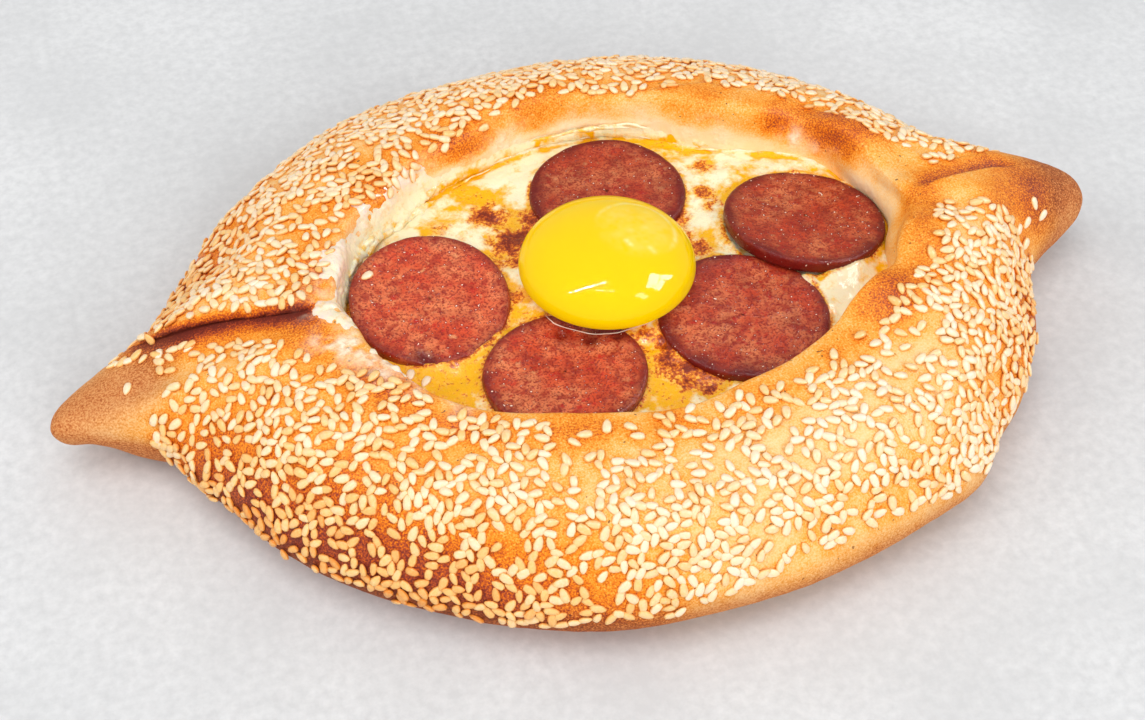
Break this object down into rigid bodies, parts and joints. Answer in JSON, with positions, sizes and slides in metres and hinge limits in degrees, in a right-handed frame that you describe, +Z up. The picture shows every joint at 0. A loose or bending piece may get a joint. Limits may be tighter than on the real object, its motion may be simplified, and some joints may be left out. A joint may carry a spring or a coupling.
{
  "type": "sujuk khachapuri",
  "caption": "Boat-shaped bread with a sesame-seeded rim and two pinched ends, filled with baked cheese, sliced sausage and an egg yolk.",
  "frame": {"origin": "middle of the object's box at the height of the surface that it stands on", "axes": "+X along the boat to its right pinched end, +Y to the back rim, +Z up"},
  "size_m": [0.2469, 0.1682, 0.0394],
  "materials": {
    "crust": "baked golden crust, satin where glazed and matte at the ends",
    "seed": "satin toasted sesame",
    "cheese": "melted cheese, oily, with toasted spots",
    "sujuk": "moist cured sausage, fine grained",
    "yolk": "wet and glossy"
  },
  "bodies": {
    "root": {"crust": "crust", "cheese": "cheese", "sujuk_slice_1": "sujuk", "sujuk_slice_2": "sujuk", "sujuk_slice_3": "sujuk", "sujuk_slice_4": "sujuk", "sujuk_slice_5": "sujuk", "egg_yolk": "yolk"}
  },
  "joints": []
}
